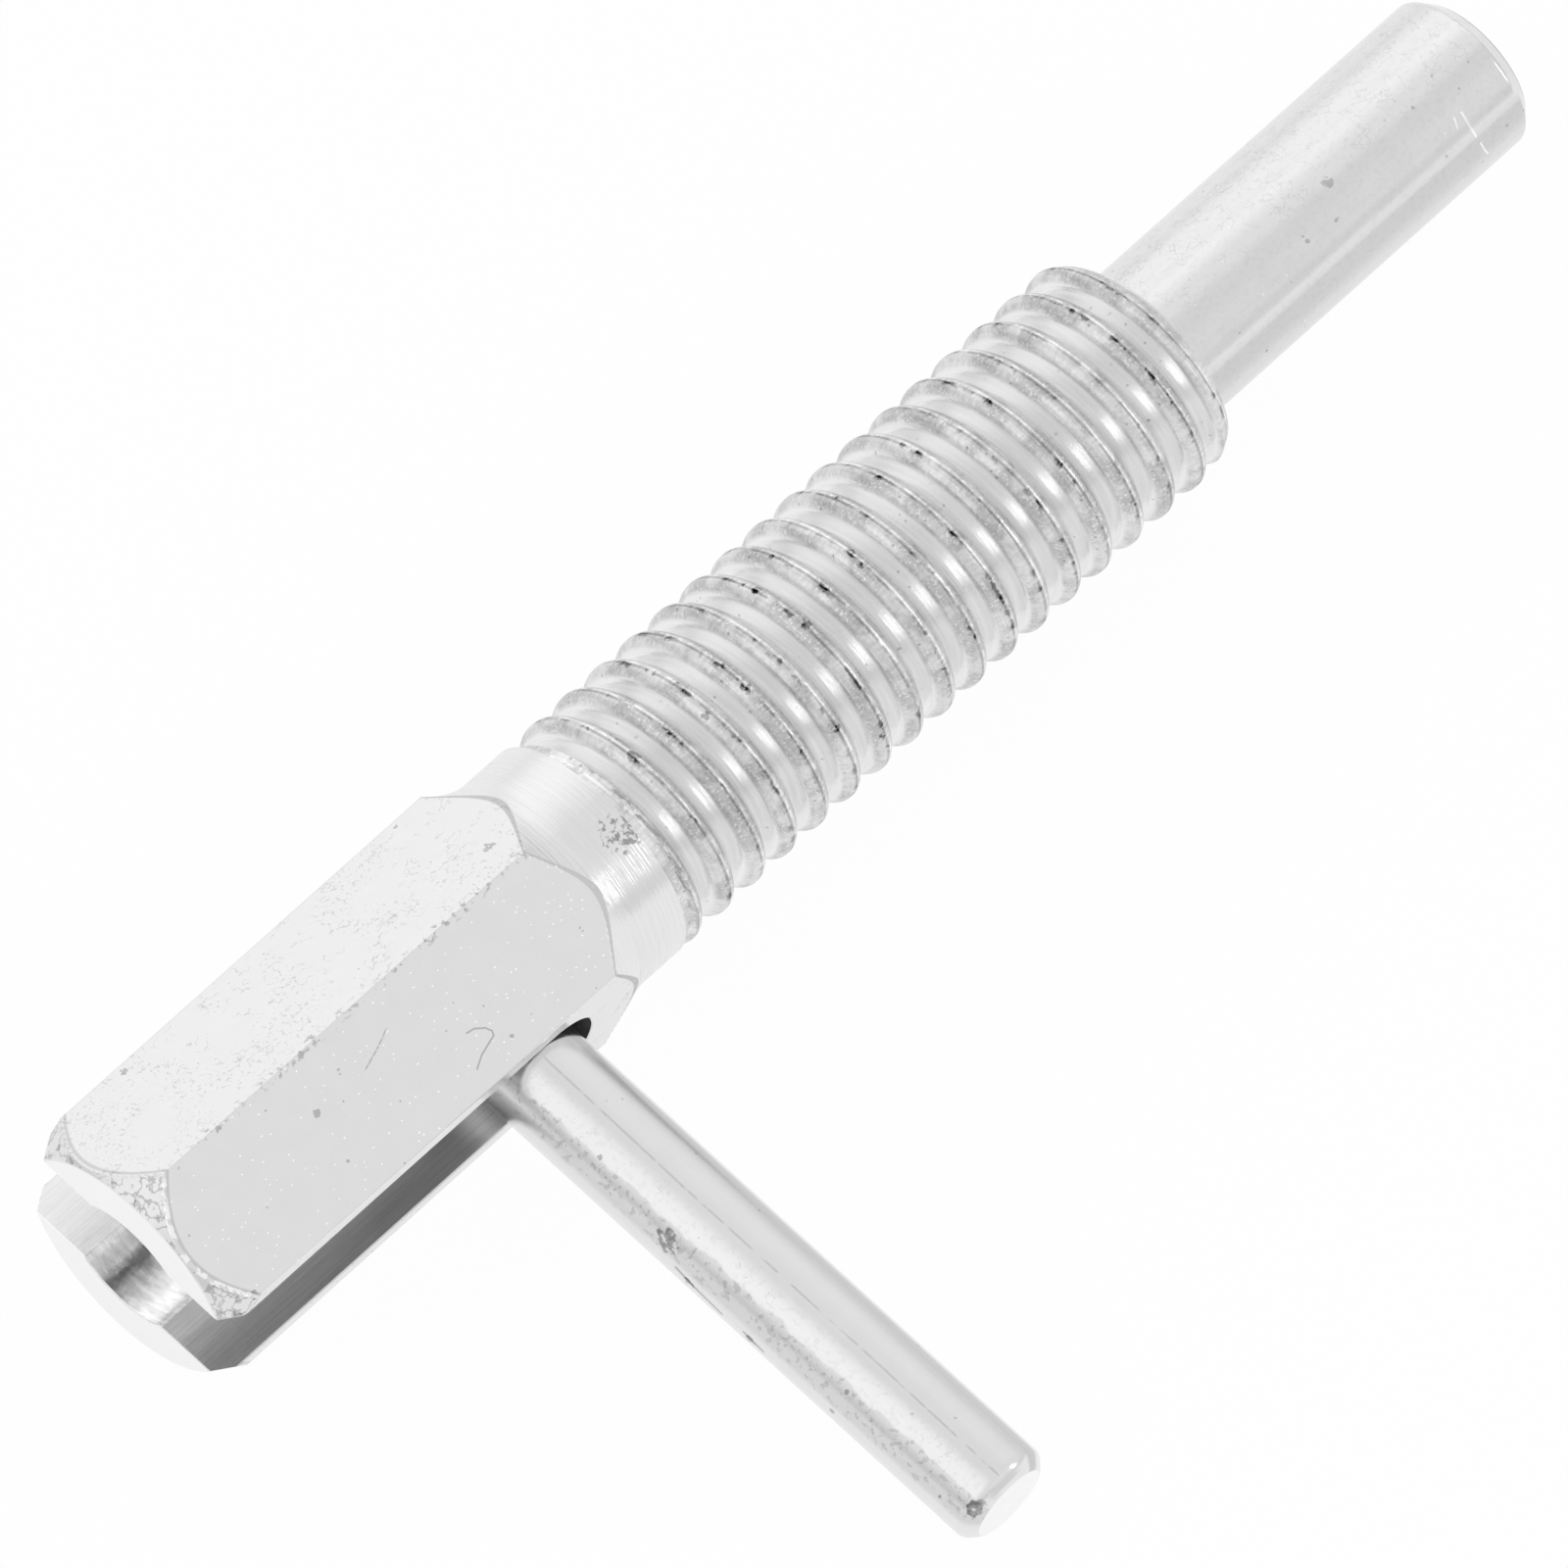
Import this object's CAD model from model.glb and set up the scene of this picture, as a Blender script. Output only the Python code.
# %% [markdown]
# # An indexing plunger in Blender
#
# An indexing plunger holds a machine part in one of several places. A spring pushes its pin
# into a hole, and a cross handle pulls it out again. The CAD model is the skeleton of this
# scene: it says how large each piece is, where it sits and which body it moves with. Here
# each piece is dressed: its edges are rounded, its thread is cut smooth and its metal gets
# the plating, pits, stains and scratches of a part that has lain in a drawer.

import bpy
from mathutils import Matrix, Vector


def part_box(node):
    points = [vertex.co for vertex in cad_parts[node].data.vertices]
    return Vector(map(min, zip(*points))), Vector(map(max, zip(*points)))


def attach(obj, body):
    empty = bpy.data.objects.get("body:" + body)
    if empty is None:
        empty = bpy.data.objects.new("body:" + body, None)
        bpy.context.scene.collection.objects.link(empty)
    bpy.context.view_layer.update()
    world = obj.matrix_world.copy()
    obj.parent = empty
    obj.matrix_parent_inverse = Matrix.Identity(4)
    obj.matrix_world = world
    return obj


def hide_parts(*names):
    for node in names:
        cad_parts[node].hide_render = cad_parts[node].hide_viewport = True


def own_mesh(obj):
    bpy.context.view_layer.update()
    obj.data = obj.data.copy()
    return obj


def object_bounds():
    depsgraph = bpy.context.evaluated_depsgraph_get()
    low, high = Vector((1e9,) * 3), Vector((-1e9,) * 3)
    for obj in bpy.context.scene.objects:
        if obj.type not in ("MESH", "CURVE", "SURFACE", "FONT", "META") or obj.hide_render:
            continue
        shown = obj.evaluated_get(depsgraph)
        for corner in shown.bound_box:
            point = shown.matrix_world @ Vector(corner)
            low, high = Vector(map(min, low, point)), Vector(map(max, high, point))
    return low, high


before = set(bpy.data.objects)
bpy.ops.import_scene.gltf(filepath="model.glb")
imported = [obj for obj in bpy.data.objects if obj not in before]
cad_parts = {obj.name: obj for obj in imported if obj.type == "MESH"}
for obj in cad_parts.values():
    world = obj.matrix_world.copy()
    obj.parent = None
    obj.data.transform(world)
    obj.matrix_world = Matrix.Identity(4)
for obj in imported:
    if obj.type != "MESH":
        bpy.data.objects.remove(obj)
cad_low, cad_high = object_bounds()

# %% [markdown]
# ## Sizes
#
# The frame gives lengths in metres, but a part this small is easier to think about in
# millimetres. So the pieces are drawn in millimetres in the part's own position, with the
# axis along X and the handle along -Y, and one matrix then shrinks them to metres and rolls
# them down to where the part lies. The ends of the pieces are read from the frame.

# %% Read the main sizes
import math

import bmesh
import bpy
from mathutils import Matrix, Vector

body_low, body_high = (corner * 1000 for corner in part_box("hex_body"))
pin_low, pin_high = (corner * 1000 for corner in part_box("plunger_pin"))
spring_low, spring_high = (corner * 1000 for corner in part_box("spring"))
rod_low, rod_high = (corner * 1000 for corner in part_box("handle_rod"))

rear_x, front_x = body_low.x, body_high.x
handle_x = (rod_low.x + rod_high.x) / 2
handle_radius = (rod_high.x - rod_low.x) / 2
tail_x, tip_x = pin_low.x, pin_high.x
print(f"body {rear_x:.2f} to {front_x:.2f} mm, pin {tail_x:.2f} to {tip_x:.2f} mm")
print(f"handle at {handle_x:.2f} mm, radius {handle_radius:.3f} mm")

# %% Name the other sizes, in millimetres
hex_across_flats = 9.525
hex_length = 20.64
taper_slope = math.tan(math.radians(30))
rear_face_radius = 4.68
neck_radius = 4.63
thread_length = 27.8
thread_pitch = 1.5875
bore_radius = 3.395
rear_bore_radius = 2.778
slot_radius = 2.075
forward_play = 0.65
nose_radius = 3.175
land_radius = 3.355
land_length = 6.0
shank_radius = 2.38
spot_face_depth = 0.3
handle_reach = 27.45
handle_chamfer = 0.45

half_flat = hex_across_flats / 2
hex_front_x = rear_x + hex_length
sleeve_rear_x = front_x - thread_length
slot_front_x = handle_x + handle_radius + forward_play
slot_centre_x = slot_front_x - slot_radius
hex_corner_radius = half_flat / math.cos(math.pi / 6)
roll = math.atan2(hex_corner_radius - handle_radius, handle_reach - handle_chamfer)
lay_down = Matrix.Rotation(roll, 4, "X") @ Matrix.Scale(0.001, 4)
print(f"roll {math.degrees(roll):.3f} degrees, lowest corner {-hex_corner_radius:.3f} mm")

# %% [markdown]
# ## The camera
#
# The camera stands above and behind the part, a little over a metre away with a long lens,
# as for a catalogue picture of a small thing. Two angles say where it stands as seen from
# the part, and a third says how far it is tipped.

# %% Aim the camera
camera_azimuth = math.radians(-44.418)
camera_elevation = math.radians(58.797)
camera_tip = math.radians(-1.905)
camera_distance = 1.0867
aim_point = Vector((-0.020213, -0.001991, -0.002330))

towards_camera = Vector((
    math.cos(camera_elevation) * math.sin(camera_azimuth),
    -math.cos(camera_elevation) * math.cos(camera_azimuth),
    math.sin(camera_elevation),
))
camera_data = bpy.data.cameras.new("catalogue_camera")
camera_data.lens = 714.96
camera = bpy.data.objects.new("catalogue_camera", camera_data)
bpy.context.scene.collection.objects.link(camera)
tip = Matrix.Rotation(camera_tip, 4, "Z")
look = towards_camera.to_track_quat("Z", "Y").to_matrix().to_4x4()
place = Matrix.Translation(aim_point + towards_camera * camera_distance)
camera.matrix_world = place @ look @ tip
bpy.context.scene.camera = camera
bpy.context.scene.view_settings.view_transform = "Standard"
print("camera at", [round(v, 4) for v in camera.matrix_world.translation])

# %% [markdown]
# ## Shader maths that reads like Python
#
# A shader is a graph of nodes. Wiring one by hand takes four lines for each sum, so a small
# class wraps an output socket. Adding or multiplying two wires makes the Math node that does
# it, and every other kind of node comes from one method, `node`.

# %% Wrap a socket
class Wire:
    """An output of a shader node that takes part in sums like a number."""

    def __init__(self, tree, socket=None):
        self.tree = tree
        self.socket = socket

    def node(self, kind, settings=None, inputs=None, output=0):
        """Adds a node: its settings first, then the values or wires of its sockets."""
        made = self.tree.nodes.new("ShaderNode" + kind)
        for name, value in (settings or {}).items():
            setattr(made, name, value)
        for name, value in (inputs or {}).items():
            if isinstance(value, Wire):
                self.tree.links.new(value.socket, made.inputs[name])
            else:
                made.inputs[name].default_value = value
        return Wire(self.tree, made.outputs[output] if made.outputs else None)

    def math(self, operation, *values):
        """A Math node, for plain numbers."""
        return self.node("Math", {"operation": operation}, dict(enumerate(values)))

    def __add__(self, other):
        return self.math("ADD", self, other)

    def __sub__(self, other):
        return self.math("SUBTRACT", self, other)

    def __rsub__(self, other):
        return self.math("SUBTRACT", other, self)

    def __mul__(self, other):
        return self.math("MULTIPLY", self, other)

    def __truediv__(self, other):
        return self.math("DIVIDE", self, other)

    def __rtruediv__(self, other):
        return self.math("DIVIDE", other, self)

    __radd__ = __add__
    __rmul__ = __mul__

    def step(self, low, high):
        """0 up to low, 1 from high, and a smooth slope between them."""
        return self.node(
            "MapRange",
            {"interpolation_type": "SMOOTHSTEP"},
            {"Value": self, "From Min": low, "From Max": high},
        )

    def noise(self, scale, detail=3.0):
        """Cloudy noise at this place."""
        return self.node("TexNoise", None, {"Vector": self, "Scale": scale, "Detail": detail})

    def size(self):
        """The value without its sign."""
        return self.math("ABSOLUTE", self)

    def larger(self, other):
        """The larger of two values."""
        return self.math("MAXIMUM", self, other)

    def faded(self, other, share):
        """This value where share is 0, the other where it is 1."""
        return self + share * (other - self)

    def vector(self, operation, *values, output="Vector"):
        """A Vector Math node, for places and directions."""
        return self.node(
            "VectorMath", {"operation": operation}, dict(enumerate(values)), output
        )

    def stretched(self, x, y, z):
        """This place, scaled along each axis."""
        return self.vector("MULTIPLY", self, (x, y, z))

    def split(self):
        """The three coordinates of this place."""
        parts = self.node("SeparateXYZ", None, {0: self})
        return [Wire(self.tree, socket) for socket in parts.socket.node.outputs]


print("a wire knows", ", ".join(name for name in vars(Wire) if not name.startswith("_")))

# %% [markdown]
# ## The studio
#
# Bare metal shows its surroundings and little else, so the room is what makes it look like
# metal. The world is a soft white tent: bright on two sides, a little darker overhead, and
# darkest in a band at the horizon, which is what draws the grey lines along a round bar. The
# camera itself sees plain white.

# %% Make the tent
def lobe(direction, towards, spread):
    """A soft patch of light in the tent: 1 at its middle, 0 outside its spread."""
    middle = Vector(towards).normalized()
    closeness = direction.vector("DOT_PRODUCT", direction, tuple(middle), output="Value")
    return closeness.step(math.cos(math.radians(spread)), 1.0)


world = bpy.data.worlds.new("tent")
bpy.context.scene.world = world
world.use_nodes = True
world.node_tree.nodes.clear()
tent = Wire(world.node_tree)
direction = tent.node("TexCoord", output="Generated")
height = direction.node("SeparateXYZ", None, {0: direction}, "Z")
level = 0.74 + 0.12 * height.step(0.05, 0.45) - 0.03 * height.step(0.6, 1.0)
level = level + 0.24 * lobe(direction, (0.39, 0.78, 0.50), 50)
level = level + 0.22 * lobe(direction, (-0.72, 0.20, 0.66), 42)
seen = tent.node("LightPath", output="Is Camera Ray")
shade = level.larger(seen)
colour = tent.node("CombineColor", None, {0: shade, 1: shade, 2: shade})
background = tent.node("Background", None, {"Color": colour, "Strength": 1.0})
tent.node("OutputWorld", None, {"Surface": background})
print("tent with", len(world.node_tree.nodes), "nodes")

# %% [markdown]
# One small lamp to the front right puts the row of sparks into the thread. It is weak and a
# little long, since a strong one would burn hard white spots into every polished edge.

# %% Hang the lamp
lamp_distance = 0.6
lamp_data = bpy.data.lights.new("front_lamp", "AREA")
lamp_data.shape = "RECTANGLE"
lamp_data.size = 0.063
lamp_data.size_y = 0.26
lamp_data.energy = 0.12
lamp = bpy.data.objects.new("front_lamp", lamp_data)
bpy.context.scene.collection.objects.link(lamp)
lamp_direction = Vector((0.59, -0.70, 0.40)).normalized()
across = lamp_direction.cross(Vector((1, 0, 0))).normalized()
turned_lamp = Matrix((across.cross(lamp_direction), across, lamp_direction)).transposed()
lamp.matrix_world = Matrix.Translation(lamp_direction * lamp_distance) @ turned_lamp.to_4x4()
print("lamp at", [round(v, 3) for v in lamp.matrix_world.translation])

# %% [markdown]
# The part lies on white paper, one square right under its lowest point. To the camera and in
# reflections the paper glows, so that it stays white in them, and the rest of it is matt and
# takes a breath of the part's shadow. Light Path tells these kinds of ray apart.

# %% Lay the floor
floor_mesh = bpy.data.meshes.new("floor")
floor_half = 0.6
floor_corners = [(-1, -1), (1, -1), (1, 1), (-1, 1)]
floor_points = [(x * floor_half, y * floor_half, cad_low.z) for x, y in floor_corners]
floor_mesh.from_pydata(floor_points, [], [(0, 1, 2, 3)])
floor = bpy.data.objects.new("floor", floor_mesh)
bpy.context.scene.collection.objects.link(floor)

paper = bpy.data.materials.new("white_paper")
paper.use_nodes = True
paper.node_tree.nodes.clear()
sheet = Wire(paper.node_tree)
matt = sheet.node("BsdfDiffuse", None, {"Color": (0.9, 0.9, 0.9, 1)})
glow = sheet.node("Emission", None, {"Color": (1, 1, 1, 1), "Strength": 1.0})
camera_ray = sheet.node("LightPath", output="Is Camera Ray")
glossy_ray = sheet.node("LightPath", output="Is Glossy Ray")
clear_ray = sheet.node("LightPath", output="Is Transmission Ray")
share = 0.97 * camera_ray + 0.85 * glossy_ray + 0.9 * clear_ray
surface = sheet.node("MixShader", None, {0: share, 1: matt, 2: glow})
sheet.node("OutputMaterial", None, {"Surface": surface})
floor_mesh.materials.append(paper)
print("floor at", round(cad_low.z, 6))

# %% [markdown]
# ## Shapes: turning, skinning and cutting
#
# Most of the part was turned in a lathe, so most of it can be made the same way: a half
# section is spun about the axis. Corners of the section are softened first, because no real
# edge is perfectly sharp, and a softened edge is what catches the light.

# %% Soften a section
run_per_cut = 2.4
holding_point = 1.15


def soften(points, cut, steps=4):
    """The same line with a small curve in place of each corner between its ends.

    A curve takes no more of a run than its share. A holding point just outside each end of
    the curve keeps the shading of the long runs flat.
    """
    soft = [points[0]]
    for before, corner, after in zip(points, points[1:], points[2:]):
        corner = Vector(corner)
        back, ahead = Vector(before) - corner, Vector(after) - corner
        start = back.normalized() * min(cut, back.length / run_per_cut)
        end = ahead.normalized() * min(cut, ahead.length / run_per_cut)
        soft.append(tuple(corner + start * holding_point))
        for step in range(steps + 1):
            t = step / steps
            soft.append(tuple(corner + start * (1 - t) ** 2 + end * t ** 2))
        soft.append(tuple(corner + end * holding_point))
    soft.append(points[-1])
    return soft


print("a softened corner has", len(soften([(0, 1), (1, 1), (1, 0)], 0.1)) - 2, "points")


# %% Join rings of points
def about_axis(x, radius, angle):
    """The place at a station, a radius and an angle about the axis."""
    return x, radius * math.cos(angle), radius * math.sin(angle)


def ring(bm, x, radius, sides):
    """A circle of points about the axis, or one point where the radius is 0."""
    if radius == 0:
        return [bm.verts.new((x, 0, 0))]
    angles = [2 * math.pi * side / sides for side in range(sides)]
    return [bm.verts.new(about_axis(x, radius, angle)) for angle in angles]


def skin(bm, rings):
    """Faces between each ring and the next."""
    for near, far in zip(rings, rings[1:]):
        for side in range(max(len(near), len(far))):
            corners = [near[side % len(near)], near[(side + 1) % len(near)]]
            corners += [far[(side + 1) % len(far)], far[side % len(far)]]
            bm.faces.new(list(dict.fromkeys(corners)))


def web(bm, outer, inner):
    """A flat face between two rings of points that needn't be equally many."""
    def share(rim, index):
        point = rim[index % len(rim)].co
        return math.atan2(point.z, point.y) / (2 * math.pi) + index // len(rim)

    outer = sorted(outer, key=lambda v: math.atan2(v.co.z, v.co.y))
    inner = sorted(inner, key=lambda v: math.atan2(v.co.z, v.co.y))
    out, into = 0, 0
    while out < len(outer) or into < len(inner):
        corners = [outer[out % len(outer)], inner[into % len(inner)]]
        outer_is_next = share(outer, out + 1) < share(inner, into + 1)
        if into == len(inner) or (out < len(outer) and outer_is_next):
            out += 1
            corners.append(outer[out % len(outer)])
        else:
            into += 1
            corners.append(inner[into % len(inner)])
        bm.faces.new(corners)


# %% Turn and loft
def turn(section, sides=128):
    """A mesh spun about X from (x, radius) points."""
    bm = bmesh.new()
    skin(bm, [ring(bm, x, radius, sides) for x, radius in section])
    bmesh.ops.recalc_face_normals(bm, faces=bm.faces)
    return bm


def loft(outlines):
    """A solid skinned over a row of outlines of equally many points, with closed ends."""
    bm = bmesh.new()
    rings = [[bm.verts.new(point) for point in outline] for outline in outlines]
    skin(bm, rings)
    bm.faces.new(rings[0])
    bm.faces.new(rings[-1])
    bmesh.ops.recalc_face_normals(bm, faces=bm.faces)
    return bm


# %% [markdown]
# A mesh becomes a piece in three moves. It is put into the scene, cut with other meshes where
# the real one was drilled or milled, and then installed: laid down in its place, given its
# finish, and handed to the frame, which has to know the body it rides on.

# %% Put a mesh into the scene
def as_object(name, bm):
    mesh = bpy.data.meshes.new(name)
    bm.to_mesh(mesh)
    bm.free()
    piece = bpy.data.objects.new(name, mesh)
    bpy.context.scene.collection.objects.link(piece)
    return piece


def apply_modifiers(piece):
    """The piece keeps the mesh that its modifiers make."""
    graph = bpy.context.evaluated_depsgraph_get()
    made = bpy.data.meshes.new_from_object(piece.evaluated_get(graph))
    piece.modifiers.clear()
    piece.data = made


def cut(piece, tool):
    """Cuts a tool from a piece and throws the tool away."""
    modifier = piece.modifiers.new("cut", "BOOLEAN")
    modifier.operation = "DIFFERENCE"
    modifier.solver = "EXACT"
    modifier.object = tool
    apply_modifiers(piece)
    bpy.data.objects.remove(tool)


def install(piece, body, material, replaced=()):
    """Lays a finished piece down in its place and tells the frame about it."""
    piece.data.transform(lay_down)
    piece.data.materials.clear()
    piece.data.materials.append(material)
    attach(piece, body)
    if replaced:
        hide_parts(*replaced)
    mesh = piece.data
    print(f"{piece.name}: {len(mesh.polygons)} faces, {len(mesh.vertices)} points")


def smooth(piece, sharp_angle=40):
    """Smooth shading, but for edges sharper than an angle."""
    piece.data.shade_smooth()
    piece.data.set_sharp_from_angle(angle=math.radians(sharp_angle))


# %% [markdown]
# ## Zinc
#
# Every piece but the spring is zinc plated steel, and zinc isn't one even colour. Each finish
# starts from the same recipe: a pale grey metal whose colour, polish and height wander a
# little. Where a finish needs lines, they are noise that is stretched along the way the tool
# or the die went. A recipe works in grey levels from 0 to 1 and in millimetres on the part,
# and most of it is masks: `step` gives 0 up to its first number and 1 from its second.

# %% Make a metal from a recipe
def part_place(shader):
    """The place on the part in millimetres, with the axis along X again."""
    here = shader.node("TexCoord", output="Object")
    settled = {"Vector": here, "Rotation": (-roll, 0, 0), "Scale": (1000, 1000, 1000)}
    return here.node("Mapping", None, settled)


def from_axis(place):
    """How far a place is from the part's axis."""
    spoke = place.stretched(0, 1, 1)
    return spoke.vector("LENGTH", spoke, output="Value")


def finish_metal(name, recipe):
    """A metal whose recipe gives grey level, roughness and height in millimetres."""
    material = bpy.data.materials.new(name)
    material.use_nodes = True
    material.node_tree.nodes.clear()
    shader = Wire(material.node_tree)
    level, roughness, height = recipe(part_place(shader))
    colour = shader.node("CombineColor", None, {0: level, 1: level, 2: level})
    relief = shader.node("Bump", None, {"Strength": 1.0, "Distance": 0.001, "Height": height})
    metal = shader.node(
        "BsdfPrincipled",
        None,
        {"Base Color": colour, "Metallic": 1.0, "Roughness": roughness, "Normal": relief},
    )
    shader.node("OutputMaterial", None, {"Surface": metal})
    print(f"{name}: {len(material.node_tree.nodes)} nodes")
    return material


# %% [markdown]
# Four kinds of mark make plating look old. Specks are small round dots, scattered by a
# Voronoi texture that gives every cell its own random colour, so that a share of the cells
# can be picked. Cracks follow the lines where a noise crosses its middle value. Stains are
# soft balls round given places, eaten ragged by noise. Strokes are single scratches: the
# distance to a line from point to point, which no texture can give.

# %% Scatter specks and cracks
def specks(place, scale, share, size):
    """Small round dots in a share of the cells of a scattered grid."""
    settings, inputs = {"feature": "F1"}, {"Vector": place, "Scale": scale}
    dot = 1 - place.node("TexVoronoi", settings, inputs, "Distance").step(size * 0.6, size)
    lot = place.node("TexVoronoi", settings, inputs, "Color")
    return dot * lot.split()[0].step(1 - share, 1 - share + 0.01)


def cracks(place, scale, width, cover=0.5):
    """Fine broken lines, in patches that take about a share of the surface."""
    crossing = (place.noise(scale, 4.0) - 0.5).size()
    patches = place.noise(scale * 0.45, 2.0).step(1 - cover - 0.06, 1 - cover + 0.06)
    return (1 - crossing.step(0, width)) * patches


# %% Place stains and strokes
def stains(place, spots, scale=6.0):
    """Ragged stains at given spots, each a place and a size in millimetres."""
    ragged = 0.35 + place.noise(scale, 4.0).step(0.36, 0.62)
    mask = None
    for centre, size in spots:
        ball = 1 - place.vector("DISTANCE", place, centre, output="Value").step(0, size)
        mask = ball if mask is None else mask.larger(ball)
    return (mask * ragged).step(0.34, 0.56)


def stroke(place, points, width):
    """A scratch from point to point: 1 on the line and 0 beside it."""
    mask = None
    for start, end in zip(points, points[1:]):
        along = Vector(end) - Vector(start)
        run = place.vector("DOT_PRODUCT", place, tuple(along), output="Value")
        share = (run - along.dot(Vector(start))) / along.length_squared
        nearest = place.vector(
            "MULTIPLY_ADD", tuple(along), share.node("Clamp", None, {"Value": share}), start
        )
        gap = place.vector("DISTANCE", place, nearest, output="Value")
        line = 1 - gap.step(width * 0.3, width)
        mask = line if mask is None else mask.larger(line)
    return mask


# %% [markdown]
# ## The hexagon head
#
# The head began as hexagon bar. Both ends were turned to a taper, the neck was turned down,
# a bore was drilled in from behind, and a slot for the handle was milled through it from
# side to side. Its outside is one skin of rings here: every ring is the hexagon's outline,
# drawn in to the lathe's radius where the taper is lower than the hexagon. That gives the
# curved ends of the flats by itself. The bore and the slot are then cut out of it.

# %% Draw the hexagon's outline
ridge_cut = 0.09
flat_step = 0.23
sixth_turn = math.pi / 3


def hexagon_outline():
    """Points round the hexagon: steps along each flat and a small curve at each ridge."""
    half_side = hex_corner_radius / 2
    points = []
    for flat in range(6):
        turn_flat = Matrix.Rotation(sixth_turn * flat, 2)
        turn_next = Matrix.Rotation(sixth_turn, 2) @ turn_flat
        count = int((half_side - ridge_cut) / flat_step)
        for step in range(-count, count):
            points.append(turn_flat @ Vector((half_flat, (step + 0.5) * flat_step)))
        before = turn_flat @ Vector((half_flat, half_side - 2 * ridge_cut))
        corner = turn_flat @ Vector((half_flat, half_side))
        after = turn_next @ Vector((half_flat, 2 * ridge_cut - half_side))
        ridge = soften([before, corner, after], ridge_cut, steps=8)
        points += [Vector(point) for point in ridge[1:-1]]
    return points


outline = hexagon_outline()
print("the hexagon's outline has", len(outline), "points")

# %% Draw the lathe's profile
rear_edge_cut = 0.06
taper_run_out = 0.587
taper_end_round = 2.52


def blend_low(a, b, width):
    """The lower of two values, with a smooth change from one to the other."""
    share = min(max(0.5 + 0.5 * (b - a) / width, 0), 1)
    return b * (1 - share) + a * share - width * share * (1 - share)


def lathe_radius(x):
    """How far out the lathe left metal on the head at a station."""
    rear = rear_face_radius + (x - rear_x) * taper_slope
    rear_edge = rear_face_radius - rear_edge_cut + (x - rear_x) / taper_slope
    rear = blend_low(rear, rear_edge, rear_edge_cut / 2)
    behind = max(0, hex_front_x + taper_run_out - x)
    return min(rear, neck_radius + behind ** 2 / (2 * taper_end_round))


print(f"the lathe left {lathe_radius(rear_x):.2f} mm of radius on the rear face")

# %% Skin the head
flat_end_blend = 0.012
taper_steps, middle_steps, neck_steps = 48, 12, 80
taper_length = (hex_corner_radius - neck_radius) / taper_slope
taper_margin = 1.2
taper_reach = taper_length * taper_margin
front_start = hex_front_x - taper_reach
stations = [rear_x + taper_reach * step / taper_steps for step in range(taper_steps + 1)]
middle = stations[-1]
stations += [
    middle + (front_start - middle) * step / middle_steps for step in range(1, middle_steps)
]
stations += [
    front_start + (sleeve_rear_x - front_start) * step / neck_steps
    for step in range(neck_steps + 1)
]
rows = []
for x in stations:
    row = []
    for point in outline:
        y, z = point.normalized() * blend_low(point.length, lathe_radius(x), flat_end_blend)
        row.append((x, y, z))
    rows.append(row)
head = as_object("hexagon_head", loft(rows))
print("head skinned over", len(stations), "stations of", len(outline), "points")

# %% [markdown]
# The tools that cut the bore and the slot flare where they leave the metal, so each cut edge
# comes out with a small chamfer of its own. That is steadier than asking a Bevel modifier to
# round an edge that runs through a hundred small faces.

# %% Shape the slot's cutter
edge_break = 0.05
tool_lead = 0.5
slot_end_steps = 48


def slot_outline(y, widening):
    """The slot's outline at one depth, a widening larger all round and flared behind."""
    half = slot_radius + widening
    flare = half + tool_lead + edge_break
    points = [(rear_x - tool_lead, y, -flare), (rear_x + edge_break, y, -half)]
    for step in range(1, slot_end_steps):
        a = math.pi * (step / slot_end_steps - 0.5)
        points.append((slot_centre_x + half * math.cos(a), y, half * math.sin(a)))
    points += [(rear_x + edge_break, y, half), (rear_x - tool_lead, y, flare)]
    return points


inside = half_flat - edge_break
outside = inside + edge_break + tool_lead
flare_outside = outside - inside
slot_cutter = loft(
    [
        slot_outline(-outside, flare_outside),
        slot_outline(-inside, 0),
        slot_outline(inside, 0),
        slot_outline(outside, flare_outside),
    ]
)
print(f"slot {2 * slot_radius:.2f} mm wide, its front end at {slot_front_x:.2f} mm")

# %% Cut the bore and the slot
bore_overrun = 1.0
drill = turn(
    [
        (rear_x - tool_lead, 0),
        (rear_x - tool_lead, rear_bore_radius + tool_lead + edge_break),
        (rear_x + edge_break, rear_bore_radius),
        (spring_low.x, rear_bore_radius),
        (spring_low.x, bore_radius),
        (sleeve_rear_x + bore_overrun, bore_radius),
        (sleeve_rear_x + bore_overrun, 0),
    ],
    sides=100,
)
cut(head, as_object("bores", drill))
cut(head, as_object("slot", slot_cutter))
smooth(head, sharp_angle=12)
weighted = head.modifiers.new("flats_stay_flat", "WEIGHTED_NORMAL")
weighted.keep_sharp = True
apply_modifiers(head)
print("head cut to", len(head.data.polygons), "faces")

# %% [markdown]
# Some marks on the head are one of a kind: a fibre caught in the plating, a long scratch, and
# a few stains. Each has a place of its own in millimetres, read off the part.

# %% Place the head's own marks
hair_line = [
    (-37.38, -3.00, 3.77), (-37.06, -3.05, 3.74), (-36.71, -3.26, 3.61), (-36.58, -3.46, 3.50),
    (-36.63, -3.61, 3.42), (-37.04, -3.71, 3.36), (-37.42, -3.81, 3.30), (-37.87, -4.04, 3.17),
]
long_scratch = [
    (-41.17, -1.75, 4.49), (-40.54, -1.57, 4.59), (-39.98, -1.38, 4.70), (-39.66, -1.24, 4.78),
]
head_spots = [
    ((-32.12, 1.15, 4.84), 0.45), ((-46.68, 4.42, 2.95), 0.3), ((-33.16, 4.51, 2.90), 0.2),
    ((-42.0, -1.27, 4.77), 0.22), ((-43.58, -1.75, 4.49), 0.3), ((-43.72, -3.52, 3.47), 0.16),
    ((-49.42, -4.64, 2.82), 0.3), ((-36.11, -3.99, 3.19), 0.16),
]
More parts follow.
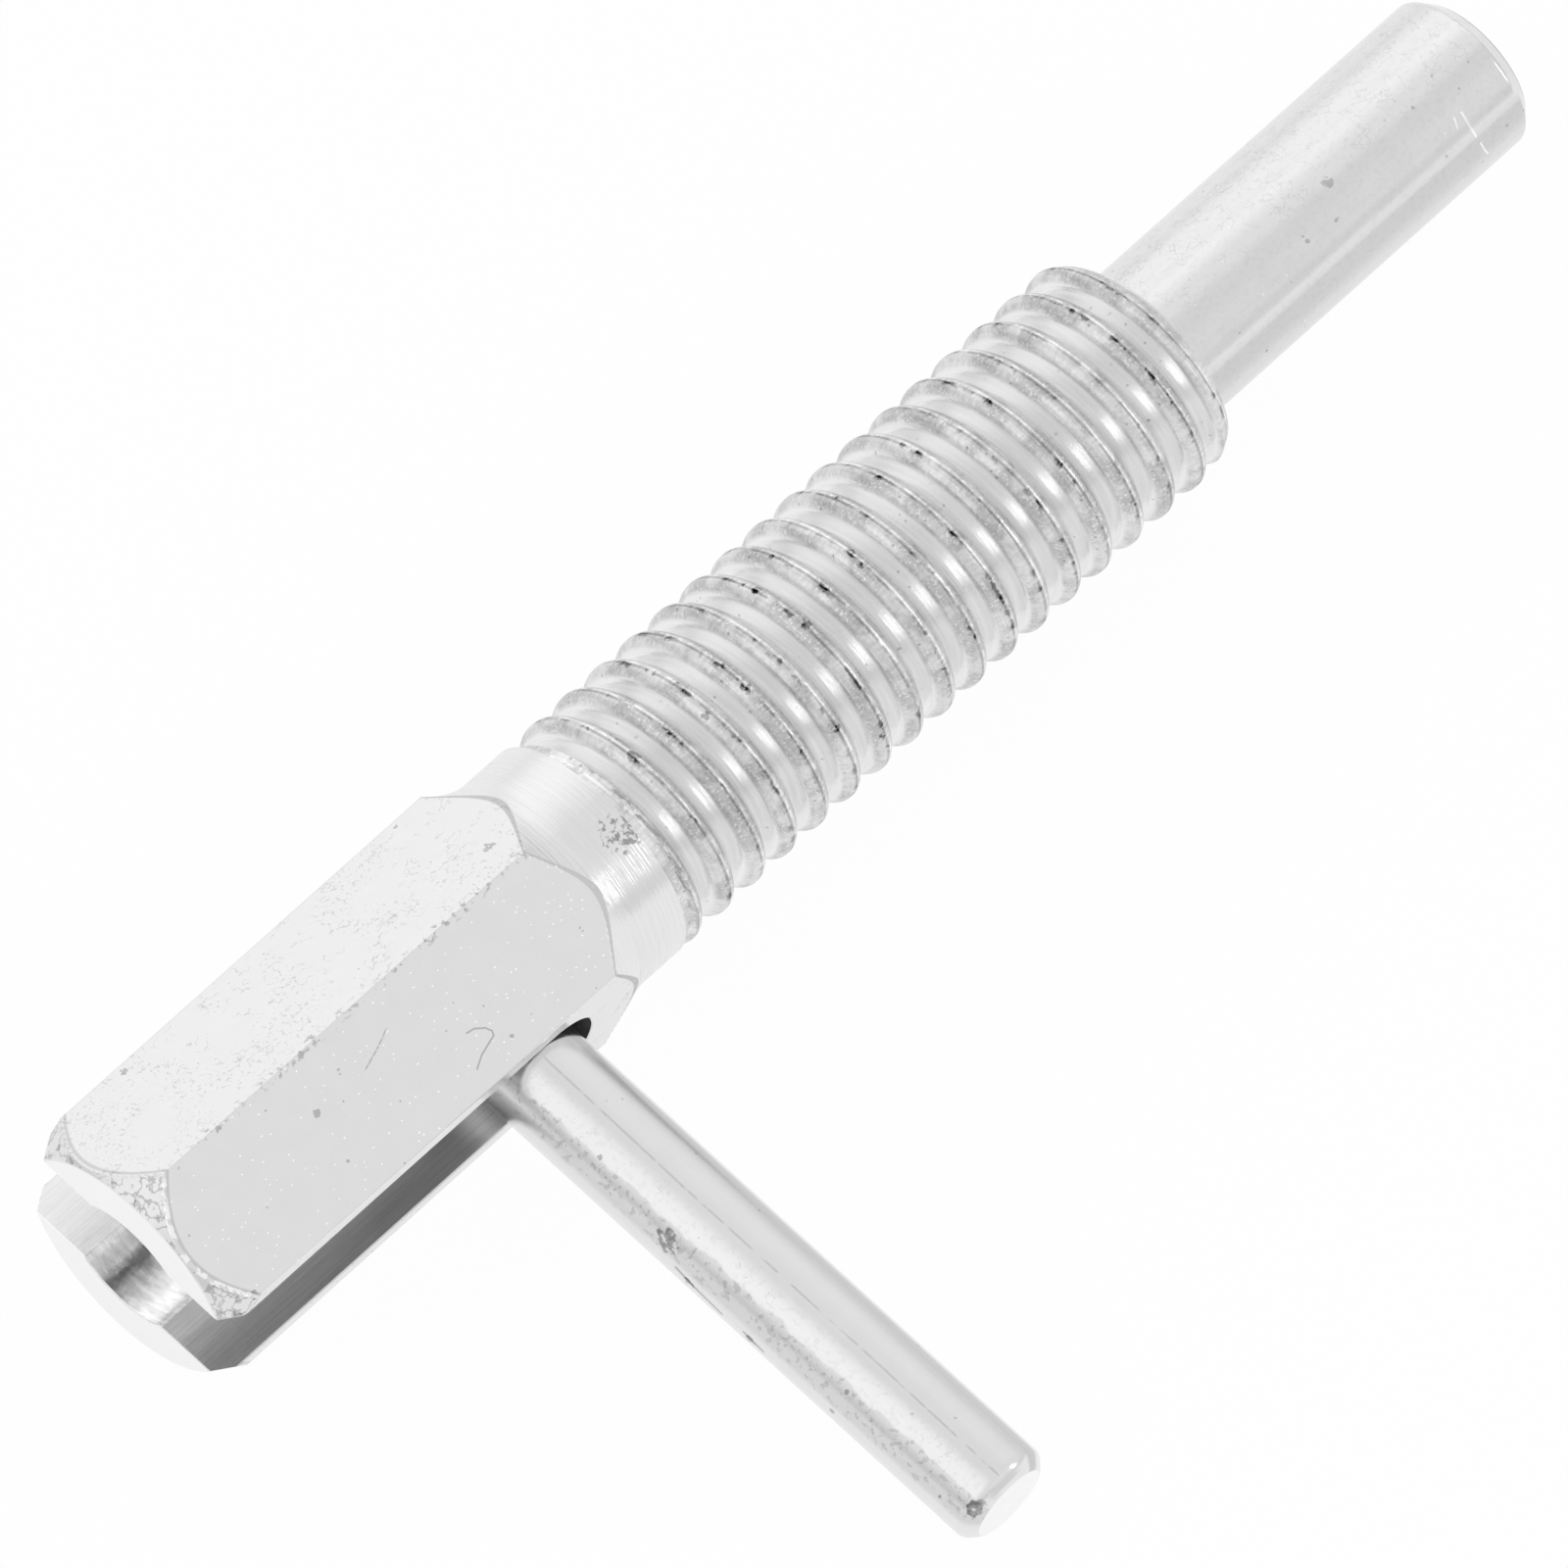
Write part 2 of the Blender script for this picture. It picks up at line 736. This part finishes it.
neck_spots = [((-28.26, -1.47, 4.42), 1.35)]
print("the head has", len(head_spots) + len(neck_spots), "stains of its own")

# %% [markdown]
# The head needs most of its recipe for telling its surfaces apart. A point is on the hexagon's
# flats where its height over the nearest flat is that of the flat. It is on a wall of the slot
# where it is as far from the middle as the wall, and in the bore where it is that near the
# axis. The flat above the handle is smooth and has sparkles, which are tiny bumps that glint,
# and the other flats are mottled and cracked. The colour of each kind of surface is worked out
# by a function of its own, which takes the grey level so far and gives it back changed.

# %% Mark the flats
def over_flats(place):
    """The height over the nearest of the six flats, and over the smooth one."""
    _, across, up = place.split()
    back_side = 0.5 * across + 0.866 * up
    front_side = 0.866 * up - 0.5 * across
    return across.size().larger(back_side.size()).larger(front_side.size()), front_side


def mark_flats(place, level, mottled, front_flat):
    """Cracks and clouds on the mottled flats, and sparkles on the smooth one."""
    crowded = place.noise(0.45, 2.0).step(0.42, 0.60)
    level = level - 0.20 * mottled * cracks(place.stretched(0.8, 1, 1), 2.4, 0.022, 0.42)
    level = level - 0.13 * mottled * crowded * place.noise(6.5, 5.0).step(0.57, 0.64)
    sparkles = front_flat * specks(place, 3.4, 0.50, 0.18) * (0.4 + 0.8 * crowded)
    return level + 0.30 * sparkles, sparkles


def mark_wear(place, level, grain):
    """Specks all over, and the head's own stains and strokes."""
    level = level - 0.25 * specks(place, 2.4, 0.10, 0.14)
    level = level - 0.30 * stains(place, head_spots)
    level = level - 0.32 * stroke(place, hair_line, 0.05)
    return level - 0.30 * stroke(place, long_scratch, 0.05) * grain.step(0.42, 0.5)


# %% [markdown]
# Edges are where plating wears and dirt stays. The top ridge is darkened in broken patches.
# Behind, the flats end in a dark rim with a bright bead along it. In front they end in curved
# lines. Each is found by how far a point is from the lathe's surface there.

# %% Mark the head's edges
def mark_edges(place, level, off_axis, on_flats, front_flat):
    """The worn ridge, the rim and the bead behind, and the arcs in front."""
    axial, _, up = place.split()
    radius = from_axis(place)
    ridge = up.step(5.33, 5.42) * place.noise(4.2, 5.0).step(0.54, 0.60)
    level = level - 0.32 * ridge * place.noise(0.8, 2.0).step(0.38, 0.56)
    rear_gap = radius - rear_face_radius - taper_slope * (axial - rear_x)
    rear_rim = rear_gap.step(-0.16, -0.10) - 0.8 * rear_gap.step(-0.08, -0.03)
    level = level - 0.20 * on_flats * rear_rim
    bead = rear_gap.step(-0.10, -0.05) * place.noise(2.6, 2.0).step(0.42, 0.52)
    level = level + 0.35 * front_flat * bead
    behind = (hex_front_x + taper_run_out - axial).larger(0.0)
    front_gap = radius - neck_radius - behind * behind / (2 * taper_end_round)
    near_flats = off_axis.step(half_flat - 0.06, half_flat - 0.04)
    front_arc = near_flats * front_gap.step(-0.06, -0.03)
    return level - 0.16 * front_arc, front_arc


# %% [markdown]
# The neck has the fine rings of the turning tool: noise that changes fast along the axis and
# slowly round it. The chamfer behind the flats is cracked all over and cloudy. The walls of
# the slot are dark and lined by the milling cutter, and the bore by the drill.

# %% Mark the turned and the cut surfaces
def mark_turned(place, level, on_flats):
    """The rings and the stain on the neck, and the cracked chamfer behind."""
    axial = place.split()[0]
    turned = (1 - on_flats) * axial.step(hex_front_x - 1.8, hex_front_x - 1.7)
    rings = place.stretched(12, 0.3, 0.3).noise(1.0, 3.0)
    level = level + 0.14 * turned * (rings - 0.5)
    level = level - 0.45 * stains(place, neck_spots, 3.2) * place.noise(5.0).step(0.42, 0.56)
    rear_cone = (1 - on_flats) * (1 - axial.step(rear_x + 1.9, rear_x + 2.0))
    rear_cone = rear_cone * axial.step(rear_x + 0.03, rear_x + 0.07)
    level = level - 0.05 * rear_cone - 0.30 * rear_cone * cracks(place, 1.7, 0.05, 0.8)
    level = level - 0.20 * rear_cone * place.noise(2.4, 3.0).step(0.58, 0.64)
    return level, turned, rings, rear_cone


def mark_cut(place, level, on_flats):
    """The milled walls of the slot, and the drilled bore."""
    axial, across, up = place.split()
    in_slot = (1 - up.size().step(slot_radius + 0.02, slot_radius + 0.04)) * (1 - on_flats)
    in_slot = in_slot * (1 - axial.step(slot_front_x, slot_front_x + 0.03))
    milled = place.stretched(0.25, 14, 14).noise(1.0, 4.0)
    wall_level = 0.64 + 0.36 * across.step(-2.0, 3.6) + 0.4 * (milled - 0.5)
    level = level.faded(wall_level, in_slot)
    in_bore = 1 - from_axis(place).step(rear_bore_radius + 0.03, rear_bore_radius + 0.06)
    drilled = place.stretched(5, 1.5, 1.5).noise(1.0, 5.0)
    level = level.faded(0.45 + 0.8 * drilled, in_bore)
    return level, in_slot, milled, in_bore, drilled


# %% Mix the head's finish
def head_plate(place):
    """The head's grey level, roughness and height."""
    off_axis, front_side = over_flats(place)
    front_flat = front_side.step(half_flat - 0.06, half_flat - 0.02)
    on_flats = off_axis.step(half_flat - 0.06, half_flat - 0.02)
    mottled = on_flats * (1 - front_flat)
    rear_face = 1 - place.split()[0].step(rear_x + 0.01, rear_x + 0.03)
    clouds = place.noise(1.1)
    grain = place.noise(16.0, 2.0)

    level = 0.79 + 0.04 * clouds + 0.04 * grain - 0.02 * mottled + 0.10 * rear_face
    level, sparkles = mark_flats(place, level, mottled, front_flat)
    level = mark_wear(place, level, grain)
    level, front_arc = mark_edges(place, level, off_axis, on_flats, front_flat)
    level, turned, rings, rear_cone = mark_turned(place, level, on_flats)
    level, in_slot, milled, in_bore, drilled = mark_cut(place, level, on_flats)

    roughness = 0.12 + 0.06 * clouds + 0.05 * grain + 0.12 * in_slot
    roughness = roughness + 0.4 * front_arc + 0.02 * turned
    height = 0.0012 * grain + 0.003 * clouds + 0.026 * turned * rings + 0.010 * sparkles
    height = height + 0.003 * in_slot * milled + 0.01 * in_bore * drilled
    height = height - 0.01 * rear_cone * place.noise(2.4, 3.0)
    return level, roughness, height


head_finish = finish_metal("plated_head", head_plate)
install(head, "body", head_finish, ["hex_body"])

# %% [markdown]
# ## The threaded sleeve
#
# A thread is one groove wound round a bar. A grid of points can be wound the same way: its
# rows climb with the helix, so every crest and root lies along a row and stays crisp. The
# radius at a point depends only on how far it is from the middle of the groove.

# %% Give the thread its profile
crest_radius = 4.64
root_radius = 3.80
root_round = 0.02
crest_blend = 0.40
flank_rise = 1 / math.tan(math.radians(30))
front_chamfer = 0.45
relief_radius = 4.38
relief_width = 0.5
relief_rise = 3
end_blend = 0.05


def thread_profile(offset):
    """Radius of the thread at a distance along the axis from the middle of a groove."""
    flank = root_radius + flank_rise * (math.hypot(offset, root_round) - root_round)
    return blend_low(crest_radius, flank, crest_blend)


def sleeve_radius(x, offset):
    """The thread's radius, less where the front chamfer and the rear relief cut it."""
    radius = thread_profile(offset)
    chamfer = crest_radius - front_chamfer + (front_x - x) * taper_slope
    radius = blend_low(radius, chamfer, end_blend)
    relief = relief_radius + max(0, x - sleeve_rear_x - relief_width) * relief_rise
    return blend_low(radius, relief, end_blend)


print(f"thread from {thread_profile(0):.2f} to {thread_profile(thread_pitch / 2):.2f} mm")

# %% Wind the sleeve
thread_turn_sides = 120
thread_phase = -0.40
spare_turns, turns_behind = 3, 2
half_groove = [0.0, 0.04, 0.12, 0.2, 0.26, 0.32, 0.38, 0.44, 0.5, 0.57, 0.64, 0.72]
row_offsets = [-thread_pitch / 2] + [-v for v in half_groove[:0:-1]] + half_groove
rows_per_turn = len(row_offsets)
turns = (front_x - sleeve_rear_x) / thread_pitch
row_count = int((turns + spare_turns) * rows_per_turn)
bm = bmesh.new()
grid = []
for row in range(row_count):
    row_points = []
    for side in range(thread_turn_sides):
        share = side / thread_turn_sides
        offset = row_offsets[row % rows_per_turn]
        groove = row // rows_per_turn - turns_behind + share - thread_phase
        x = sleeve_rear_x + groove * thread_pitch + offset
        radius = sleeve_radius(x, offset)
        row_points.append(bm.verts.new(about_axis(x, radius, 2 * math.pi * share)))
    grid.append(row_points)
for row in range(row_count - 1):
    for side in range(thread_turn_sides):
        last = side == thread_turn_sides - 1
        lift = rows_per_turn if last else 0
        following = 0 if last else side + 1
        if row + 1 + lift < row_count:
            near = [grid[row][side], grid[row + lift][following]]
            far = [grid[row + 1 + lift][following], grid[row + 1][side]]
            bm.faces.new(near + far)
print(f"{turns:.2f} turns of thread in {row_count} rows")

# %% [markdown]
# The grid was wound a little too long at both ends. Two flat cuts bring it to length, and the
# bore is then added as a second skin inside, with a small chamfer at its mouth. The cut rims
# have points wherever a row ended, so a web joins them to the even rings of the bore.

# %% Trim the sleeve and close it
weld = 1e-5
mouth_chamfer = 0.15
for x, outwards in ((sleeve_rear_x, -1), (front_x, 1)):
    bmesh.ops.bisect_plane(
        bm,
        geom=bm.verts[:] + bm.edges[:] + bm.faces[:],
        plane_co=(x, 0, 0),
        plane_no=(outwards, 0, 0),
        clear_outer=True,
        dist=weld,
    )
loose = [v for v in bm.verts if not v.link_faces]
bmesh.ops.delete(bm, geom=loose, context="VERTS")
at_the_cut = 0.01
rims = [
    [v for v in bm.verts if v.is_boundary and abs(v.co.x - x) < at_the_cut]
    for x in (sleeve_rear_x, front_x)
]
bore = [
    ring(bm, sleeve_rear_x, bore_radius, thread_turn_sides),
    ring(bm, front_x - mouth_chamfer, bore_radius, thread_turn_sides),
    ring(bm, front_x, bore_radius + mouth_chamfer, thread_turn_sides),
]
skin(bm, bore)
web(bm, rims[0], bore[0])
web(bm, rims[1], bore[-1])
bmesh.ops.recalc_face_normals(bm, faces=bm.faces)
print("open edges in the sleeve:", sum(e.is_boundary for e in bm.edges))
sleeve = as_object("threaded_sleeve", bm)
smooth(sleeve, sharp_angle=50)

# %% [markdown]
# The thread's stains are given by the place along the axis, the angle about it in degrees and
# a size, because that is how one reads them off a turned part.

# %% Place the thread's stains
thread_spots = []
for x, angle, size in [
    (-15.38, 79.4, 0.34), (-14.74, 85.2, 0.36), (-22.99, 95.7, 0.30), (-25.90, 88.1, 0.46),
    (-18.07, 66.9, 0.32), (-21.40, 52.9, 0.28), (-23.06, 47.7, 0.22), (-13.33, 57.5, 0.18),
    (-10.74, 85.4, 0.22), (-17.87, 161.3, 0.26), (-19.38, 139.1, 0.30), (-19.25, 162.9, 0.22),
    (-21.17, 84.5, 0.22), (-21.15, 98.6, 0.42), (-17.88, 95.1, 0.42),
]:
    thread_spots.append((about_axis(x, crest_radius, math.radians(angle)), size))
print("the thread has", len(thread_spots), "stains of its own")

# %% [markdown]
# The thread's finish has to follow the helix. The distance from the middle of the groove comes
# from the place along the axis, less what the helix has climbed at that angle. With it the
# crest's front edge can be torn and pitted, with a bright lip beside it, while its middle is
# darker, flecked in patches and crossed by short marks. Fine lines run along the flanks.

# %% Mix the thread's finish
def thread_plate(place):
    """The thread's grey level, roughness and height."""
    axial, across, up = place.split()
    turned = up.math("ARCTAN2", up, across) / (2 * math.pi)
    climb = (axial - sleeve_rear_x) / thread_pitch - turned + (thread_phase + 0.5)
    offset = (climb.math("FRACT", climb) - 0.5) * thread_pitch
    crest = offset.size().step(0.28, 0.42)
    clear = axial.step(sleeve_rear_x + relief_width, sleeve_rear_x + 0.7)
    clouds = place.noise(1.0)
    grain = place.noise(12.0, 3.0)
    marks = place.stretched(1.6, 7, 7).noise(1.0, 4.0)
    flecks = place.noise(6.0, 4.0)
    along = place.node(
        "CombineXYZ", None, {0: offset * 11, 1: up * 0.3 + axial * 0.35, 2: across * 0.3}
    )
    lines = along.noise(1.0, 3.0)
    seam = clear * offset.size().step(0.71, 0.77) * place.noise(1.3, 4.0).step(0.34, 0.50)
    lip = 1 - (offset + 0.68).size().step(0.02, 0.07)
    torn = clear * offset.size().step(0.58, 0.74) * place.noise(2.2, 5.0).step(0.53, 0.60)

    level = 0.82 + 0.05 * clouds + 0.05 * grain - 0.14 * crest
    level = level + 0.35 * crest * (marks - 0.5) + 0.20 * (lines - 0.5)
    patches = crest * place.noise(0.7, 2.0).step(0.42, 0.58)
    level = level + 0.18 * patches * (flecks.step(0.58, 0.66) - flecks.step(0.34, 0.42))
    level = level - 0.24 * seam + 0.22 * lip * place.noise(2.2, 3.0).step(0.42, 0.54)
    level = level + 0.10 * (1 - clear)
    level = level - 0.34 * torn * place.noise(0.9, 2.0).step(0.42, 0.55)
    level = level - 0.24 * specks(place, 2.6, 0.14, 0.2)
    level = level - 0.34 * stains(place, thread_spots)
    roughness = 0.16 + 0.05 * clouds + 0.06 * grain + 0.04 * crest
    height = 0.0012 * grain + 0.003 * crest * marks - 0.010 * torn - 0.008 * seam
    height = height + 0.012 * lines + 0.004 * flecks
    return level, roughness, height


thread_finish = finish_metal("plated_thread", thread_plate)
install(sleeve, "body", thread_finish, ["hex_body"])

# %% [markdown]
# ## The plunger pin
#
# The pin is turned from one bar: a thin shank behind, a land that runs in the bore, and the
# nose that stands out in front. So its half section says all there is to say about it.

# %% Turn the pin
shank_chamfer = 0.3
nose_chamfer = 0.6
pin_edge = 0.12
pin_section = [
    (tail_x, 0),
    (tail_x, shank_radius - shank_chamfer),
    (tail_x + shank_chamfer, shank_radius),
    (-land_length, shank_radius),
    (-land_length, land_radius),
    (front_x, land_radius),
    (front_x, nose_radius),
    (tip_x - nose_chamfer, nose_radius),
    (tip_x, nose_radius - nose_chamfer),
    (tip_x, 0),
]
pin = as_object("turned_pin", turn(soften(pin_section, pin_edge), sides=160))
smooth(pin)
print(f"the pin is {tip_x - tail_x:.2f} mm long")

# %% [markdown]
# The nose was ground, so it is the smoothest surface here, with faint lines along it. Where it
# has slid in and out, the plating is polished in some bands and dulled in others. A band is a
# range of `side`, the angle about the axis in radians, where half of pi is straight up.

# %% Place the nose's own marks
nose_scratches = [
    ([(14.05, -1.86, 2.57), (14.04, -2.26, 2.23), (14.09, -2.63, 1.78)], 0.07),
    ([(13.70, -1.83, 2.59), (13.59, -2.13, 2.35)], 0.05),
    ([(14.16, -2.83, 1.45), (14.25, -3.00, 1.03), (14.36, -3.09, 0.74)], 0.05),
]
nose_spots = [
    ((8.40, -0.62, 3.11), 0.40), ((7.77, -1.78, 2.63), 0.20), ((6.37, -1.65, 2.72), 0.16),
    ((6.33, -1.41, 2.84), 0.14), ((3.05, -3.08, 0.79), 0.14), ((12.72, -0.69, 3.10), 0.14),
    ((11.60, -0.37, 3.15), 0.14),
]
print("the nose has", len(nose_scratches), "scratches and", len(nose_spots), "stains")

# %% Mix the pin's finish
def pin_plate(place):
    """The pin's grey level, roughness and height."""
    axial, across, up = place.split()
    clouds = place.noise(1.0)
    grain = place.noise(12.0, 3.0)
    drawn = place.stretched(0.10, 2.2, 2.2).noise(1.0, 3.0)
    upper = (up + across).step(1.6, 3.4)
    side = up.math("ARCTAN2", up, across)
    top = up.step(3.07, 3.16)
    bright = side.step(2.20, 2.30) * (1 - side.step(2.45, 2.55))
    shaded = side.step(2.53, 2.60) * (1 - side.step(2.72, 3.05))
    radius = from_axis(place)
    barrel = radius.step(3.05, 3.12)
    tip_rim = radius.step(2.42, 2.50) * axial.step(tip_x - 0.16, tip_x - 0.10)

    level = 0.71 + 0.04 * clouds + 0.04 * grain + 0.05 * (drawn - 0.5) + 0.04 * upper
    level = level + barrel * (0.09 * top + 0.06 * bright - 0.11 * shaded) - 0.22 * tip_rim
    level = level - 0.13 * upper * cracks(place, 3.0, 0.03, 0.5)
    level = level - 0.03 * place.noise(5.0, 4.0).step(0.5, 0.65)
    level = level - 0.22 * specks(place, 2.2, 0.10, 0.16)
    level = level + 0.14 * specks(place.stretched(1, 1.2, 1), 2.6, 0.10, 0.14)
    level = level - 0.25 * stains(place, nose_spots)
    for points, width in nose_scratches:
        level = level + 0.30 * stroke(place, points, width)
    roughness = 0.14 + 0.06 * clouds + 0.05 * grain
    height = 0.0012 * grain + 0.004 * drawn + 0.002 * clouds
    return level, roughness, height


pin_finish = finish_metal("plated_pin", pin_plate)
install(pin, "plunger", pin_finish, ["plunger_pin"])

# %% [markdown]
# ## The cross handle
#
# The handle is a plain rod, cut to length, chamfered and pressed into the pin. It is turned
# along X like the rest and then swung round to point along -Y. Its edges are softer than the
# others, because this is the part that fingers rub.

# %% Turn the handle
handle_shoulder = shank_radius - spot_face_depth
rod_edge = 0.20
rod_section = [
    (handle_shoulder, 0),
    (handle_shoulder, handle_radius),
    (handle_reach - handle_chamfer, handle_radius),
    (handle_reach, handle_radius - handle_chamfer),
    (handle_reach, 0),
]
rod = as_object("cross_handle", turn(soften(rod_section, rod_edge), sides=128))
swing = Matrix.Translation((handle_x, 0, 0)) @ Matrix.Rotation(-math.pi / 2, 4, "Z")
rod.data.transform(swing)
smooth(rod)
print(f"the rod is {handle_reach - handle_shoulder:.2f} mm long from its shoulder")

# %% [markdown]
# The rod was drawn through a die, which leaves lines along it and here one thin seam. Its rear
# side is pitted in a ragged band, with a few dents and stains, and a dull band runs along the
# front. `side` is the angle about the rod here, and `shaft` keeps the bands off its end face.

# %% Place the rod's own marks
seam = [
    (-35.40, -4.0, 1.98), (-35.47, -11.57, 1.97),
    (-35.45, -21.4, 1.97), (-35.49, -27.05, 1.97),
]
rod_dents = [
    ([(-37.19, -13.3, 0.22), (-37.20, -14.4, 0.04), (-37.20, -15.5, -0.06)], 0.12),
    ([(-37.20, -16.6, 0.06), (-37.20, -17.5, -0.04)], 0.12),
]
rod_spots = [
    ((-36.98, -12.55, 0.92), 0.85), ((-37.20, -13.90, -0.02), 0.45),
    ((-37.20, -16.90, -0.05), 0.45), ((-37.20, -20.81, 0.17), 0.20),
    ((-37.07, -25.78, 0.73), 0.18), ((-36.73, -20.97, 1.29), 0.20),
    ((-36.72, -27.20, 1.25), 0.70), ((-36.56, -8.86, 1.46), 0.20),
]
print("the rod has", len(rod_dents), "dents and", len(rod_spots), "stains of its own")

# %% Mix the rod's finish
def rod_plate(place):
    """The rod's grey level, roughness and height."""
    axial, across, up = place.split()
    clouds = place.noise(1.2)
    grain = place.noise(12.0, 3.0)
    drawn = place.stretched(2.6, 0.12, 2.6).noise(1.0, 3.0)
    side = up.math("ARCTAN2", up, axial - handle_x)
    ragged = side + 0.35 * (place.noise(1.1, 5.0) - 0.5)
    pitted = side.step(1.75, 2.0) * (1 - side.step(2.6, 2.9))
    shaded = ragged.step(2.28, 2.36) * (1 - side.step(2.80, 3.00))
    dull = side.step(0.56, 0.70) * (1 - side.step(0.88, 1.02))
    shaft = across.step(-handle_reach + 0.01, -handle_reach + 0.04)

    level = 0.78 + 0.04 * clouds + 0.04 * grain + 0.05 * (drawn - 0.5)
    level = level - shaft * (0.13 * shaded + 0.21 * dull) + 0.14 * (1 - shaft)
    level = level - 0.12 * shaft * pitted * cracks(place, 3.2, 0.035, 0.4)
    pits = shaft * place.noise(4.0, 5.0).step(0.54, 0.62)
    level = level - 0.11 * pits * (0.4 * pitted + shaded)
    level = level - 0.20 * specks(place, 2.2, 0.10, 0.15)
    level = level - 0.16 * stroke(place, seam, 0.06) * place.noise(1.3, 2.0).step(0.36, 0.5)
    level = level - 0.32 * stains(place, rod_spots, 4.0)
    for points, width in rod_dents:
        level = level - 0.34 * stroke(place, points, width)
    roughness = 0.15 + 0.05 * clouds + 0.05 * grain
    height = 0.0012 * grain + 0.004 * drawn + 0.004 * pitted * place.noise(5.0, 3.0)
    return level, roughness, height


rod_finish = finish_metal("drawn_rod", rod_plate)
install(rod, "plunger", rod_finish, ["handle_rod"])

# %% [markdown]
# ## The spring
#
# The spring sits out of sight between the bore's step and the pin's land. It is a circle of
# wire carried round a helix, so `loft` can skin it: one ring of points after another.

# %% Wind the spring
wire_radius = 0.3
coil_count = 8
coil_steps = 32
wire_sides = 12
coil_radius = (shank_radius + bore_radius) / 2
coil_pitch = (spring_high.x - spring_low.x - 2 * wire_radius) / coil_count
circles = []
for step in range(coil_count * coil_steps + 1):
    turn_angle = 2 * math.pi * step / coil_steps
    x = spring_low.x + wire_radius + coil_pitch * step / coil_steps
    circle = []
    for side in range(wire_sides):
        wire_angle = 2 * math.pi * side / wire_sides
        radius = coil_radius + wire_radius * math.cos(wire_angle)
        circle.append(about_axis(x + wire_radius * math.sin(wire_angle), radius, turn_angle))
    circles.append(circle)
spring = as_object("wound_spring", loft(circles))
smooth(spring)
print(f"{coil_count} coils at a pitch of {coil_pitch:.2f} mm")

# %% Mix the spring wire's finish
def wire_steel(place):
    """The wire's grey level, roughness and height: bare steel, darker than the zinc."""
    drawn = place.noise(3.0)
    grain = place.noise(14.0)
    return 0.42 + 0.10 * drawn + 0.05 * grain, 0.28 + 0.10 * drawn, 0.002 * grain


spring_finish = finish_metal("spring_wire", wire_steel)
install(spring, "body", spring_finish, ["spring"])

# %% [markdown]
# The spring rides on the body, but it has to get shorter as the pin is pulled back. The frame
# can squash a piece along an axis with a joint, from an anchor that stays: the rear end here.
# At full travel it keeps the share of its length that the pin leaves it.

# %% Squash the spring with the pull
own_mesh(spring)

# %% [markdown]
# ## Hand over
#
# The last cell keeps the size of the CAD model and of the dressed one side by side, and then
# lets the frame check that every piece rides on a body.
